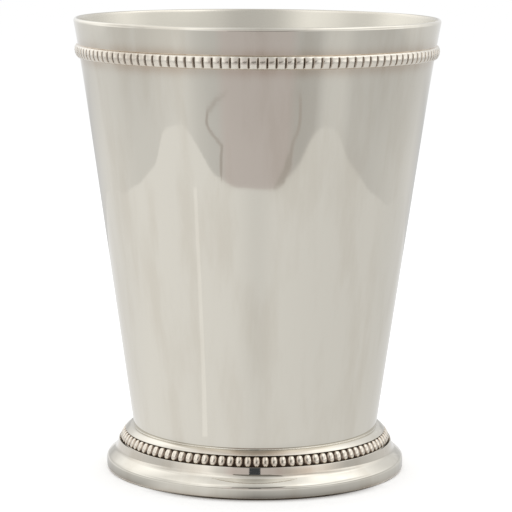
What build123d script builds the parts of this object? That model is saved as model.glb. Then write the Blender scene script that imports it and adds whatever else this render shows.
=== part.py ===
from build123d import *

import os
from math import asin, atan, cos, degrees, pi, radians, sin, sqrt

# A julep cup in silver plate, made the way a silversmith makes one: a tapered sheet wall with a
# let-in floor, a half-round wire along its lip, a strip of beaded wire soldered on below the lip,
# and a hollow moulded foot with the same beaded wire let into a groove.
# Frame: +Z up, the cup's axis on Z, the foot's resting face at z = 0. Lengths in millimetres,
# angles in degrees. Sections are drawn as (radius, height) and spun round the axis.

# Cup
cup_height = 108.0
lip_radius = 43.37
base_radius = 29.29
wall_thickness = 0.9
flare_height = 20.0
flare_reach = 0.4
floor_thickness = 1.0
lip_wire_width = 1.6

# Beaded wire: barrel beads on a flat strip
bead_width = 1.68
bead_length = 2.6
rim_bead_end_width = 1.4
foot_bead_end_width = 1.1
bead_gap = 0.39
strip_thickness = 0.25
strip_margin = 0.25
rim_band_drop = 7.9

# Foot mouldings, from the wall outwards and down
shoulder_width = 2.06
shoulder_drop = 0.97
shoulder_ledge = 0.5
shoulder_bulge = 0.2
groove_lean = 27.0
groove_depth = 0.75
groove_lip = 0.25
listel_run = 0.47
listel_drop = 1.0
cove_run = 0.5
cove_drop = 0.4
cove_hollow = 0.06
ovolo_run = 1.56
ovolo_drop = 2.74
ovolo_bulge = 0.21
edge_height = 2.4
edge_draft = 0.3
edge_round = 0.45
foot_thickness = 1.4

# Joints
collar_depth = 3.6
floor_inset = 0.6
solder_gap = 0.04
groove_clearance = 0.05
solder_leg = 0.35
floor_solder_leg = 0.8

# Beaded wire, worked out
bead_pitch = bead_width + bead_gap
band_width = bead_length + 2 * strip_margin
bead_axis_out = strip_thickness / 2
bead_crest_out = bead_axis_out + bead_width / 2

# Foot outline, worked out from its foot up
groove_width = band_width + 2 * groove_clearance
groove_out = Vector(cos(radians(groove_lean)), sin(radians(groove_lean)))
groove_down = Vector(sin(radians(groove_lean)), -cos(radians(groove_lean)))
lower_drop = listel_drop + cove_drop + ovolo_drop + edge_height
groove_drop = -groove_down.Y * groove_width - groove_out.Y * groove_lip
foot_height = shoulder_drop + groove_drop + lower_drop
groove_top = Vector(base_radius + shoulder_width, foot_height - shoulder_drop)
seat_top = groove_top - groove_out * groove_depth
seat_foot = seat_top + groove_down * groove_width
groove_foot = seat_foot + groove_out * (groove_depth + groove_lip)
listel_foot = groove_foot + Vector(listel_run, -listel_drop)
cove_foot = listel_foot + Vector(cove_run, -cove_drop)
ovolo_foot = cove_foot + Vector(ovolo_run, -ovolo_drop)
foot_radius = ovolo_foot.X + edge_draft

# Wall outline, worked out: a straight taper from the foot, then a tangent flare up to the lip
wall_top = cup_height - lip_wire_width / 2
wall_foot = foot_height - collar_depth
taper = (lip_radius - flare_reach - base_radius) / (wall_top - foot_height)
taper_angle = atan(taper)
up_wall = Vector(sin(taper_angle), cos(taper_angle))
off_wall = Vector(cos(taper_angle), -sin(taper_angle))
wall_across = wall_thickness / cos(taper_angle)
gap_across = solder_gap / cos(taper_angle)
flare_start = Vector(
    base_radius + taper * (wall_top - flare_height - foot_height), wall_top - flare_height
)
wall_tip = Vector(lip_radius, wall_top)
flare_chord = wall_tip - flare_start
flare_radius = flare_chord.length**2 / (2 * flare_chord.dot(off_wall))
flare_centre = flare_start + off_wall * flare_radius
floor_low = wall_foot + floor_inset
floor_high = floor_low + floor_thickness


def taper_radius(height):
    """Outside radius of the straight taper at a height."""
    return base_radius + taper * (height - foot_height)


def flare_outline(height, from_centre):
    """Radius at a height on a circle about the flare's centre, which lies outside the cup."""
    return flare_centre.X - sqrt(from_centre**2 - (height - flare_centre.Y) ** 2)


def wall_outside(height):
    """Outside radius of the wall and how many degrees its face looks below the horizontal."""
    if height <= flare_start.Y:
        return taper_radius(height), degrees(taper_angle)
    lean = degrees(asin((height - flare_centre.Y) / flare_radius))
    return flare_outline(height, flare_radius), lean


def inside_radius(height):
    """Radius that clears the inside of the straight wall by the solder gap."""
    return taper_radius(height) - wall_across - gap_across


# Seats of the two beaded bands: the middle of each seat, and how far its face looks up
rim_band_height = cup_height - rim_band_drop
rim_wall_radius, rim_wall_lean = wall_outside(rim_band_height)
rim_seat = Vector(rim_wall_radius + gap_across, rim_band_height)
rim_lean = -rim_wall_lean
foot_seat = (seat_top + seat_foot) / 2 + groove_out * solder_gap


def revolved(*outline):
    """Spin a closed outline of curves in (radius, height) round the cup's axis."""
    return revolve(Plane.XZ * make_face(outline), Axis.Z)


def band_point(seat, lean, along, out):
    """Point of a band's section: along is up the band from its middle, out is from its seat."""
    outward = Vector(cos(radians(lean)), sin(radians(lean)))
    upward = Vector(-outward.Y, outward.X)
    return seat + upward * along + outward * out


def solder_fillet(corner, first_leg, second_leg):
    """Ring of solder that fills an inside corner, from the corner and the ends of its two legs."""
    return revolved(Polyline(corner, first_leg, second_leg, close=True))


def bead(seat, lean, end_width):
    """One half-barrel bead at the front of a band: an arc spun half round the bead's own axis."""
    middle = band_point(seat, lean, 0, bead_axis_out)
    outward = band_point(seat, lean, 0, 1) - seat
    upward = band_point(seat, lean, 1, 0) - seat
    section_plane = Plane(
        origin=(middle.X, 0, middle.Y), x_dir=(outward.X, 0, outward.Y), z_dir=(0, -1, 0)
    )
    bead_axis = Axis(section_plane.origin, (upward.X, 0, upward.Y))
    low_end = Vector(end_width / 2, -bead_length / 2)
    high_end = Vector(end_width / 2, bead_length / 2)
    barrel = ThreePointArc(low_end, (bead_width / 2, 0), high_end)
    section = make_face([barrel, Polyline(high_end, (0, high_end.Y), (0, low_end.Y), low_end)])
    return revolve((section_plane * section).rotate(bead_axis, -90), bead_axis, 180)


def bead_band(seat, lean, end_width):
    """Ring of beaded wire: a flat strip with evenly spaced half-barrel beads standing on it."""
    half = band_width / 2
    corners = ((-half, 0), (-half, strip_thickness), (half, strip_thickness), (half, 0))
    strip = revolved(
        Polyline(*(band_point(seat, lean, along, out) for along, out in corners), close=True)
    )
    crest_radius = band_point(seat, lean, 0, bead_crest_out).X
    count = round(2 * pi * crest_radius / bead_pitch)
    first = bead(seat, lean, end_width)
    return strip + [Rot(Z=360 * turn / count) * first for turn in range(count)]


def cup_wall():
    """Tapered sheet with a slight flare at the top; its lower edge goes down inside the foot."""
    inner_start = flare_start - off_wall * wall_thickness
    inner_tip = Vector(flare_outline(wall_top, flare_radius + wall_thickness), wall_top)
    outer_foot = Vector(taper_radius(wall_foot), wall_foot)
    inner_foot = outer_foot - Vector(wall_across, 0)
    return revolved(
        Line(outer_foot, flare_start),
        TangentArc(flare_start, wall_tip, tangent=up_wall),
        Line(wall_tip, inner_tip),
        TangentArc(inner_start, inner_tip, tangent=up_wall),
        Polyline(inner_start, inner_foot, outer_foot),
    )


def lip_wire():
    """Half-round wire, flat face down on the wall's top edge and flush with its outside."""
    inner_edge = Vector(lip_radius - lip_wire_width, wall_top)
    crown = Vector(lip_radius - lip_wire_width / 2, cup_height)
    return revolved(ThreePointArc(wall_tip, crown, inner_edge), Line(inner_edge, wall_tip))


def cup_floor():
    """Let-in disc whose edge has the wall's own taper."""
    low_edge = (inside_radius(floor_low), floor_low)
    high_edge = (inside_radius(floor_high), floor_high)
    return revolved(Polyline((0, floor_low), low_edge, high_edge, (0, floor_high), close=True))


def floor_solder():
    """Solder run round the inside corner between the floor and the wall."""
    low = floor_high + solder_gap
    high = low + floor_solder_leg
    corner = (inside_radius(low), low)
    return solder_fillet(
        corner, (inside_radius(low) - floor_solder_leg, low), (inside_radius(high), high)
    )


def foot_ring():
    """Hollow moulded ring: shoulder, bead groove, listel, cove, ovolo and a plain edge band."""
    bore_top = Vector(base_radius + gap_across, foot_height)
    bore_foot = Vector(taper_radius(wall_foot) + gap_across, wall_foot)
    ledge = Vector(base_radius + shoulder_ledge, foot_height)
    edge_foot = Vector(foot_radius, edge_round)
    rest_outer = Vector(foot_radius - edge_round, 0)
    rest_inner = Vector(foot_radius - foot_thickness, 0)
    ovolo_out = Vector(ovolo_drop, ovolo_run).normalized()
    return revolved(
        Line(bore_top, ledge),
        SagittaArc(ledge, groove_top, shoulder_bulge),
        Polyline(groove_top, seat_top, seat_foot, groove_foot, listel_foot),
        SagittaArc(listel_foot, cove_foot, -cove_hollow),
        SagittaArc(cove_foot, ovolo_foot, ovolo_bulge),
        Line(ovolo_foot, edge_foot),
        TangentArc(edge_foot, rest_outer, tangent=(0, -1)),
        Polyline(
            rest_outer,
            rest_inner,
            ovolo_foot - Vector(foot_thickness, 0),
            cove_foot - ovolo_out * foot_thickness,
            seat_foot - groove_out * foot_thickness,
            bore_foot,
            bore_top,
        ),
    )


def foot_solder():
    """Solder run round the corner between the wall and the foot's shoulder."""
    low = foot_height + solder_gap
    high = low + solder_leg
    corner = (taper_radius(low) + gap_across, low)
    return solder_fillet(
        corner, (corner[0] + solder_leg, low), (taper_radius(high) + gap_across, high)
    )


def rim_band_solder():
    """Two solder runs, along the upper and the lower edge of the beaded band under the lip."""
    runs = []
    for side in (1, -1):
        inner = side * (band_width / 2 + solder_gap)
        outer = inner + side * solder_leg
        corners = ((inner, 0), (outer, 0), (inner, strip_thickness))
        runs.append(solder_fillet(*(band_point(rim_seat, rim_lean, *at) for at in corners)))
    return Compound(runs)


pieces = {
    "cup_wall": cup_wall(),
    "cup_floor": cup_floor(),
    "floor_solder": floor_solder(),
    "lip_wire": lip_wire(),
    "rim_bead_band": bead_band(rim_seat, rim_lean, rim_bead_end_width),
    "rim_band_solder": rim_band_solder(),
    "foot_ring": foot_ring(),
    "foot_bead_band": bead_band(foot_seat, groove_lean, foot_bead_end_width),
    "foot_solder": foot_solder(),
}

os.makedirs("parts", exist_ok=True)
for name, piece in pieces.items():
    piece.label = name
    export_step(piece, f"parts/{name}.step")
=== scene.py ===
"""Looks of a silver-plated julep cup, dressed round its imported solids.

The cup stands along +Z with its foot on z = 0. Sections are drawn in millimetres as (radius, height)
and spun round the axis. Meshes are in metres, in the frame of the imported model.
"""

import logging
from dataclasses import dataclass
from enum import Enum
from math import asin, atan, cos, pi, radians, sin

import bpy
import numpy as np
from mathutils import Euler, Matrix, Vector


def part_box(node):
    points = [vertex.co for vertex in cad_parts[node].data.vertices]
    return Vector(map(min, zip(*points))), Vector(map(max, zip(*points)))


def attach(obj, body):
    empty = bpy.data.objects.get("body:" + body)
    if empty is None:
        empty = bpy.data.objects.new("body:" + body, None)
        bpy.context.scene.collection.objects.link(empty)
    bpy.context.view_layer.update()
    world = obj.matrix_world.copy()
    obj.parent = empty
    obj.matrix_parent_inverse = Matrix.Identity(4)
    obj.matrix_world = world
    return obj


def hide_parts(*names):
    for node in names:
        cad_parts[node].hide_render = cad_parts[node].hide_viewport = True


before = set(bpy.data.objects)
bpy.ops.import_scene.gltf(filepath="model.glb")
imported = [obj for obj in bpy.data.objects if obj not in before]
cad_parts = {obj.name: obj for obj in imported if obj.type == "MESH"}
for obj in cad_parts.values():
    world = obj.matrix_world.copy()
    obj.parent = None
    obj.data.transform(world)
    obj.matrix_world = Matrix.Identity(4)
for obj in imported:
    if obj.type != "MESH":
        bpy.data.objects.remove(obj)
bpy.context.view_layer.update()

Piece = bpy.types.Object
Material = bpy.types.Material
Tree = bpy.types.NodeTree
Socket = bpy.types.NodeSocket

LOG = logging.getLogger("julep_cup")
MM = 0.001
TURN = 2 * pi
BODY = "root"
# Points round the axis in every spun piece.
SEGMENTS = 384
# Angle in degrees above which an edge of a section stays sharp.
CREASE = 40.0
# Room that a soldered joint leaves, in millimetres.
SOLDER_GAP = 0.04
# Power of a fall-off with a flat top.
FLAT_TOP = 4


class Slot(Enum):
    """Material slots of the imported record."""

    PLATE = "silver_plate"
    BEADS = "beaded_silver"
    SOLDER = "silver_solder"


class Mark(Enum):
    """Vertex attributes that a piece carries for its finish."""

    INSIDE = "inside"
    # Brown of tarnished joints, and at the foot also painted shade.
    STAIN = "stain"
    # How far down the inside a point lies; the painted light of the deep inside follows it.
    DEEP = "deep"
    RECESS = "recess"
    GLOW = "glow"


def linear(code: str) -> tuple[float, float, float, float]:
    """Turn an sRGB hex colour into the linear colour that sockets take, by the standard's own curve.

    Args:
        code: colour written as #RRGGBB.

    Returns:
        Linear red, green, blue and an alpha of one.
    """
    srgb = np.array([int(code[at:at + 2], 16) for at in (1, 3, 5)]) / 255
    bright = ((srgb + 0.055) / 1.055) ** 2.4
    return (*np.where(srgb <= 0.04045, srgb / 12.92, bright).tolist(), 1.0)


def add_node(tree: Tree, kind: str, inputs: dict | None = None, **settings: object) -> bpy.types.Node:
    """Add one shader node with its settings, constants and links.

    Args:
        tree: node tree of a material or of the world.
        kind: node type without its ShaderNode prefix.
        inputs: socket name or number against a constant, or against the output that feeds it.
        settings: properties of the node.

    Returns:
        The new node.
    """
    node = tree.nodes.new("ShaderNode" + kind)
    for key, value in settings.items():
        setattr(node, key, value)
    for key, value in (inputs or {}).items():
        if isinstance(value, Socket):
            tree.links.new(value, node.inputs[key])
        else:
            node.inputs[key].default_value = value
    return node


def node_box(name: str) -> tuple[np.ndarray, np.ndarray]:
    """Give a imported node's lowest and highest corners in millimetres."""
    low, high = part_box(name)
    return np.array(low) / MM, np.array(high) / MM


def grid_quads(rows: int, columns: int) -> np.ndarray:
    """Index the quads of a grid of points that closes on itself both ways, as a ring does.

    Args:
        rows: points round the axis.
        columns: points round the section.

    Returns:
        One row of four point numbers per quad; each quad steps along a row, then along a column.
    """
    row, column = np.meshgrid(np.arange(rows), np.arange(columns), indexing="ij")
    next_row, next_column = (row + 1) % rows, (column + 1) % columns
    corners = (
        row * columns + column,
        next_row * columns + column,
        next_row * columns + next_column,
        row * columns + next_column,
    )
    return np.stack(corners, -1).reshape(-1, 4)


def spun(section: np.ndarray) -> tuple[np.ndarray, np.ndarray]:
    """Carry a closed section round the axis.

    Each point is (r cos a, r sin a, h) for a section point (r, h) and a turn angle a.

    Args:
        section: points (radius, height) that go up the outside and down the inside.

    Returns:
        Points and quads of the ring.
    """
    angle = np.arange(SEGMENTS)[:, None] * TURN / SEGMENTS
    radius, height = section[:, 0], np.broadcast_to(section[:, 1], (SEGMENTS, len(section)))
    points = np.stack([np.cos(angle) * radius, np.sin(angle) * radius, height], -1)
    return points.reshape(-1, 3), grid_quads(SEGMENTS, len(section))


def spun_disc(section: np.ndarray) -> tuple[np.ndarray, list[list[int]]]:
    """Carry an open section round the axis and close it with one point at each end on the axis.

    Each point is (r cos a, r sin a, h), and both ends, where r is 0, are fans of triangles.

    Args:
        section: points (radius, height) from the axis below, round the edge, to the axis above.

    Returns:
        Points and faces of the disc.
    """
    rim = section[1:-1]
    points, quads = spun(rim)
    quads = quads.reshape(SEGMENTS, len(rim), 4)[:, :-1].reshape(-1, 4)
    poles = np.array([[0, 0, section[0, 1]], [0, 0, section[-1, 1]]])
    low, high = len(points), len(points) + 1
    here = np.arange(SEGMENTS) * len(rim)
    after = np.roll(here, -1)
    fan_low = np.stack([np.full(SEGMENTS, low), after, here], -1)
    last = len(rim) - 1
    fan_high = np.stack([np.full(SEGMENTS, high), here + last, after + last], -1)
    return np.vstack([points, poles]), [*quads.tolist(), *fan_low.tolist(), *fan_high.tolist()]


def arc(start: np.ndarray, end: np.ndarray, bulge: float, count: int) -> np.ndarray:
    """Sample the circular arc between two points.

    With half chord c and bulge b the radius is (c^2 + b^2) / 2b and the half angle 2 atan(b / c).

    Args:
        start: first point.
        end: last point.
        bulge: how far the arc stands to the right of the straight way; negative stands left.
        count: number of points, both ends included.

    Returns:
        The points in order.
    """
    chord = end - start
    half = np.linalg.norm(chord) / 2
    along = chord / (2 * half)
    right = np.array([along[1], -along[0]])
    radius = (half**2 + bulge**2) / (2 * bulge)
    sweep = np.linspace(-1, 1, count)[:, None] * 2 * atan(bulge / half)
    aside = radius * np.cos(sweep) - radius + bulge
    return (start + end) / 2 + along * radius * np.sin(sweep) + right * aside


def bezier(points: list[np.ndarray], count: int) -> np.ndarray:
    """Sample a cubic curve from its four control points by the Bernstein weights.

    Args:
        points: four control points.
        count: number of points, both ends included.

    Returns:
        The points in order.
    """
    at = np.linspace(0, 1, count)[:, None]
    weights = np.hstack([(1 - at) ** 3, 3 * at * (1 - at) ** 2, 3 * at**2 * (1 - at), at**3])
    return weights @ np.asarray(points, float)


def eased(
    corner: np.ndarray, before: np.ndarray, after: np.ndarray, reach: float, count: int = 7
) -> np.ndarray:
    """Round one corner of a section by a quadratic curve that leaves both sides at the same reach.

    Args:
        corner: the sharp corner.
        before: any point on the way in.
        after: any point on the way out.
        reach: how far from the corner the curve starts and ends.
        count: number of points.

    Returns:
        The points in order.
    """
    first = corner + (before - corner) / np.linalg.norm(before - corner) * reach
    last = corner + (after - corner) / np.linalg.norm(after - corner) * reach
    at = np.linspace(0, 1, count)[:, None]
    return (1 - at) ** 2 * first + 2 * at * (1 - at) * corner + at**2 * last


def near(place: np.ndarray, level: float, reach: float, power: int = 2) -> np.ndarray:
    """Fall off from one at a level to zero far from it, as exp(-(distance / reach)^power).

    Args:
        place: where to work it out.
        level: the place of the peak.
        reach: distance at which about a third is left.
        power: even number; two makes a bell, more makes a flat top with steeper sides.

    Returns:
        A number from zero to one for each place.
    """
    return np.exp(-(((place - level) / reach) ** power))


def front_turn(points: np.ndarray) -> np.ndarray:
    """Give each point's turn from the front, in degrees to the right."""
    return np.degrees(np.arctan2(points[:, 0], -points[:, 1]))


def new_mesh_object(
    name: str,
    points: np.ndarray,
    faces: np.ndarray | list,
    marks: dict[Mark, np.ndarray] | None = None,
    crease: float | None = None,
) -> Piece:
    """Put computed points and faces into a smooth-shaded mesh object at the origin.

    Args:
        name: name of the object and its mesh.
        points: points in millimetres.
        faces: point numbers of each face, ordered so that faces look outwards.
        marks: vertex attributes, one number or one colour per point.
        crease: angle in degrees above which an edge stays sharp; None keeps all edges smooth.

    Returns:
        The new object, linked to the scene.
    """
    mesh = bpy.data.meshes.new(name)
    mesh.from_pydata((points * MM).tolist(), [], faces if isinstance(faces, list) else faces.tolist())
    mesh.polygons.foreach_set("use_smooth", np.ones(len(mesh.polygons), bool))
    for mark, values in (marks or {}).items():
        colour = values.ndim == 2
        layer = mesh.attributes.new(mark.value, "FLOAT_COLOR" if colour else "FLOAT", "POINT")
        layer.data.foreach_set("color" if colour else "value", values.astype(np.float32).ravel())
    if crease is not None:
        mesh.set_sharp_from_angle(angle=radians(crease))
    mesh.update()
    piece = bpy.data.objects.new(name, mesh)
    bpy.context.scene.collection.objects.link(piece)
    return piece


def new_material(name: str) -> tuple[Material, Tree, bpy.types.Node]:
    """Start a node material with only its output.

    Args:
        name: name of the material.

    Returns:
        The material, its node tree and its output node.
    """
    material = bpy.data.materials.new(name)
    material.use_nodes = True
    material.node_tree.nodes.clear()
    return material, material.node_tree, add_node(material.node_tree, "OutputMaterial")


def layered(tree: Tree, base: str, coats: list[tuple[Socket, str]]) -> Socket:
    """Lay coats of colour over a base, each as thick as its own share from zero to one.

    Args:
        tree: node tree of the finish.
        base: colour under all coats.
        coats: share and colour of each coat, the lowest first.

    Returns:
        The colour that shows.
    """
    shown = linear(base)
    # A colour Mix takes its two colours at sockets 6 and 7 and gives the mixed one at output 2.
    for share, coat in coats:
        shown = add_node(tree, "Mix", {0: share, 6: shown, 7: linear(coat)}, data_type="RGBA").outputs[2]
    return shown


def close_metal(
    tree: Tree,
    output: bpy.types.Node,
    colour: Socket,
    rough: Socket,
    relief: Socket,
    depth: float,
    under: Socket | None = None,
) -> None:
    """Close a metal finish: its fine relief lifts the surface, and its shader goes to the output.

    Args:
        tree: node tree of the finish.
        output: output node of the finish.
        colour: colour of the metal.
        rough: roughness of the metal.
        relief: pattern of the relief, from zero to one.
        depth: how deep the relief is, in millimetres.
        under: normal of a coarser relief that the fine one lies on.
    """
    lifted = {"Height": relief, "Strength": 1.0, "Distance": depth * MM}
    if under is not None:
        lifted["Normal"] = under
    normal = add_node(tree, "Bump", lifted).outputs[0]
    metal = {"Base Color": colour, "Metallic": 1.0, "Roughness": rough, "Normal": normal}
    tree.links.new(add_node(tree, "BsdfPrincipled", metal).outputs[0], output.inputs["Surface"])


@dataclass(frozen=True)
class SilverPlate:
    """Electroplated silver on spun brass, buffed by hand.

    It gives the eye a warm grey mirror. Turning lines run round it and draw reflections out up and
    down, wiping leaves faint upright marks, and edges are rubbed paler. The inside is satin because no
    wheel reaches it well, and further down it is painted paler, painted light for the deep inside. Brown
    tarnishing stays along the joints, and the same brown carries painted shade low on the foot and on its
    shoulder in front. Sizes in millimetres; a pair of shares says where in a pattern a look sets in and
    where it is full.
    """

    name: str = "silver_plate_buffed"
    silver: str = "#CFCBC1"
    dulled: str = "#C9C4B9"
    rubbed: str = "#D5D1C7"
    unbuffed: str = "#CAC6BB"
    painted_lift: str = "#E8E5DD"
    tarnish_and_shade: str = "#967659"
    polish: float = 0.035
    satin: float = 0.2
    smudge_roughness: float = 0.02
    stain_roughness: float = 0.15
    # Real turning lines are about 0.05 apart; they are drawn coarser so that they show.
    line_spacing: float = 0.55
    line_length: float = 30.0
    line_depth: float = 0.0006
    line_detail: float = 3.0
    line_grain: float = 0.6
    inside_line_gain: float = 5.0
    smudge_width: float = 7.0
    smudge_height: float = 45.0
    smudge_detail: float = 4.0
    smudge_grain: float = 0.55
    smudge_shares: tuple[float, float] = (0.42, 0.68)
    rubbed_shares: tuple[float, float] = (0.53, 0.64)
    tarnish_shares: tuple[float, float] = (0.3, 0.7)
    tarnish_least: float = 0.45
    wave_size: float = 30.0
    wave_depth: float = 0.003
    wave_detail: float = 1.0

    def material(self) -> Material:
        """Build the node material."""
        material, tree, output = new_material(self.name)
        where = add_node(tree, "TexCoord").outputs["Object"]
        bent = add_node(tree, "NewGeometry").outputs["Pointiness"]
        inside, stain, deep = (
            add_node(tree, "Attribute", attribute_name=mark.value).outputs["Fac"]
            for mark in (Mark.INSIDE, Mark.STAIN, Mark.DEEP)
        )
        drawn = []
        for width, height, detail, grain in (
            (self.line_length, self.line_spacing, self.line_detail, self.line_grain),
            (self.smudge_width, self.smudge_height, self.smudge_detail, self.smudge_grain),
        ):
            around, upward = 1 / (width * MM), 1 / (height * MM)
            stretched = add_node(tree, "Mapping", {"Vector": where, "Scale": (around, around, upward)})
            streaks = {"Vector": stretched.outputs[0], "Scale": 1.0, "Detail": detail, "Roughness": grain}
            drawn.append(add_node(tree, "TexNoise", streaks).outputs["Fac"])
        lines, smudges = drawn
        ripple = {"Vector": where, "Scale": 1 / (self.wave_size * MM), "Detail": self.wave_detail}
        waves = add_node(tree, "TexNoise", ripple).outputs["Fac"]
        dull, worn = (
            add_node(
                tree,
                "MapRange",
                {"Value": pattern, "From Min": start, "From Max": full},
                interpolation_type="SMOOTHSTEP",
            ).outputs[0]
            for pattern, (start, full) in ((smudges, self.smudge_shares), (bent, self.rubbed_shares))
        )
        start, full = self.tarnish_shares
        patches = {"Value": smudges, "From Min": start, "From Max": full, "To Min": self.tarnish_least}
        patchy = add_node(tree, "MapRange", patches).outputs[0]
        stained_and_shaded = add_node(tree, "Math", {0: stain, 1: patchy}, operation="MULTIPLY").outputs[0]
        # The deep coat is painted light; the brown coat is tarnished joints and, low on the foot and on its
        # shoulder in front, painted shade.
        coats = [(dull, self.dulled), (worn, self.rubbed), (inside, self.unbuffed), (deep, self.painted_lift)]
        colour = layered(tree, self.silver, [*coats, (stained_and_shaded, self.tarnish_and_shade)])
        smudged = {"Value": dull, "To Min": self.polish, "To Max": self.polish + self.smudge_roughness}
        buffed = add_node(tree, "MapRange", smudged).outputs[0]
        sheen = add_node(tree, "MapRange", {"Value": inside, "To Min": buffed, "To Max": self.satin})
        tarnished = {0: stained_and_shaded, 1: self.stain_roughness, 2: sheen.outputs[0]}
        rough = add_node(tree, "Math", tarnished, operation="MULTIPLY_ADD").outputs[0]
        deeper = {"Value": inside, "To Min": 1.0, "To Max": self.inside_line_gain}
        gain = add_node(tree, "MapRange", deeper).outputs[0]
        turned = add_node(tree, "Math", {0: lines, 1: gain}, operation="MULTIPLY").outputs[0]
        swell = {"Height": waves, "Strength": 1.0, "Distance": self.wave_depth * MM}
        rippled = add_node(tree, "Bump", swell).outputs[0]
        close_metal(tree, output, colour, rough, turned, self.line_depth, rippled)
        return material


@dataclass(frozen=True)
class OxidisedSilver:
    """Beaded silver wire with sulphide left in its hollows.

    Crests are rubbed bright, the sides turn warm grey, and the slots between beads are darkest
    because polish never reaches them. Sizes in millimetres; a pair of shares says how deep in a
    hollow a colour sets in and where it is full.
    """

    name: str
    silver: str
    warm: str
    sulphide: str
    polish: float = 0.11
    crust: float = 0.5
    crust_from: float = 0.1
    warm_shares: tuple[float, float] = (0.05, 0.6)
    sulphide_shares: tuple[float, float] = (0.5, 0.95)
    unevenness: float = 0.36
    speckle_size: float = 0.8
    speckle_detail: float = 3.0
    # Scratches on a bead are far finer than this; they are drawn coarser so that they show.
    scratch_size: float = 0.35
    scratch_detail: float = 2.0
    scratch_depth: float = 0.004

    def material(self) -> Material:
        """Build the node material."""
        material, tree, output = new_material(self.name)
        where = add_node(tree, "TexCoord").outputs["Object"]
        recess = add_node(tree, "Attribute", attribute_name=Mark.RECESS.value).outputs["Fac"]
        grains = ((self.speckle_size, self.speckle_detail), (self.scratch_size, self.scratch_detail))
        speckle, scratch = (
            add_node(
                tree, "TexNoise", {"Vector": where, "Scale": 1 / (size * MM), "Detail": detail}
            ).outputs["Fac"]
            for size, detail in grains
        )
        blotched = {0: speckle, 1: self.unevenness, 2: -self.unevenness / 2}
        uneven = add_node(tree, "Math", blotched, operation="MULTIPLY_ADD").outputs[0]
        deep = add_node(tree, "Math", {0: recess, 1: uneven}, operation="ADD").outputs[0]
        tinged, black = (
            add_node(
                tree,
                "MapRange",
                {"Value": deep, "From Min": start, "From Max": full},
                interpolation_type="SMOOTHSTEP",
            ).outputs[0]
            for start, full in (self.warm_shares, self.sulphide_shares)
        )
        colour = layered(tree, self.silver, [(tinged, self.warm), (black, self.sulphide)])
        crusted = {"Value": deep, "From Min": self.crust_from, "To Min": self.polish, "To Max": self.crust}
        rough = add_node(tree, "MapRange", crusted).outputs[0]
        close_metal(tree, output, colour, rough, scratch, self.scratch_depth)
        return material


@dataclass(frozen=True)
class SilverSolder:
    """Silver solder that has run along a joint.

    It gives the eye a thin matt line, warmer than the plate, blotched where flux was left.
    Sizes in millimetres; the pair of shares says where in the blotches the brown sets in and is full.
    """

    name: str
    clean: str
    brown: str
    matt: float = 0.16
    crust: float = 0.3
    brown_shares: tuple[float, float] = (0.35, 0.65)
    blotch_size: float = 2.4
    blotch_detail: float = 4.0
    pit_size: float = 0.3
    pit_detail: float = 2.0
    pit_depth: float = 0.01

    def material(self) -> Material:
        """Build the node material."""
        material, tree, output = new_material(self.name)
        where = add_node(tree, "TexCoord").outputs["Object"]
        grains = ((self.blotch_size, self.blotch_detail), (self.pit_size, self.pit_detail))
        blotch, pits = (
            add_node(
                tree, "TexNoise", {"Vector": where, "Scale": 1 / (size * MM), "Detail": detail}
            ).outputs["Fac"]
            for size, detail in grains
        )
        start, full = self.brown_shares
        flux = {"Value": blotch, "From Min": start, "From Max": full}
        browned = add_node(tree, "MapRange", flux, interpolation_type="SMOOTHSTEP").outputs[0]
        colour = layered(tree, self.clean, [(browned, self.brown)])
        crusted = {"Value": browned, "To Min": self.matt, "To Max": self.crust}
        rough = add_node(tree, "MapRange", crusted).outputs[0]
        close_metal(tree, output, colour, rough, pits, self.pit_depth)
        return material


def placed(piece: Piece, node: str, material: Material) -> Piece:
    """Dress a piece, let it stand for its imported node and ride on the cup's body.

    Args:
        piece: the finished mesh object.
        node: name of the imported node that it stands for.
        material: finish of the piece.

    Returns:
        The same piece.
    """
    piece.data.materials.append(material)
    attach(piece, BODY)
    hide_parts(node)
    return piece


@dataclass(frozen=True)
class BandSeat:
    """Seat of a beaded band: its middle in millimetres, and the degrees that its face looks up."""

    radius: float
    height: float
    lean: float

    def ways(self) -> tuple[np.ndarray, np.ndarray]:
        """Give the ways out of the seat and up along it, as (radius, height)."""
        lean = radians(self.lean)
        return np.array([cos(lean), sin(lean)]), np.array([-sin(lean), cos(lean)])


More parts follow.
